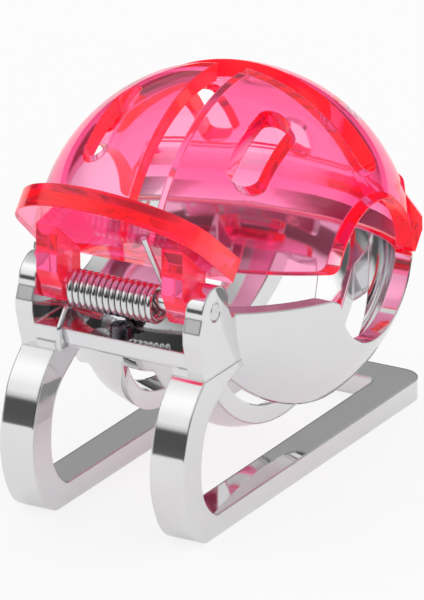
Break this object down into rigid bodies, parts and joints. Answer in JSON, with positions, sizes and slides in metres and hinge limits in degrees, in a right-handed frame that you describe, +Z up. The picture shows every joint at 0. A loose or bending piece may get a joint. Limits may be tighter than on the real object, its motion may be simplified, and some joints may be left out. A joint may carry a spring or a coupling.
{
  "type": "golf ball line marker",
  "caption": "Spring-hinged clip that holds a golf ball between a chrome bowl and a clear pink stencil shell, with a thumb tab and a chrome sled stand.",
  "frame": {"origin": "on the floor under the middle of the whole object, front to back and side to side", "axes": "+X along the hinge pin, +Y to the rear, away from the thumb tab, +Z up"},
  "size_m": [0.0438, 0.0658, 0.0512],
  "materials": {
    "pink_plastic": "clear polished",
    "chrome": "polished",
    "spring_steel": "bright"
  },
  "bodies": {
    "base": {"lower_bowl": "chrome", "stand_frame": "chrome", "hinge_pin": "spring_steel", "torsion_spring": "spring_steel", "stand_screw": "chrome"},
    "shell": {"upper_shell": "pink_plastic"}
  },
  "joints": [
    {"name": "shell_hinge", "type": "hinge", "parent": "base", "child": "shell", "pos_m": [0, -0.02245, 0.0298], "axis": [1, 0, 0], "range_deg": [0, 50], "stiffness_Nm_per_rad": 0.017, "springref_deg": -85.94, "deforming": ["torsion_spring"]}
  ]
}
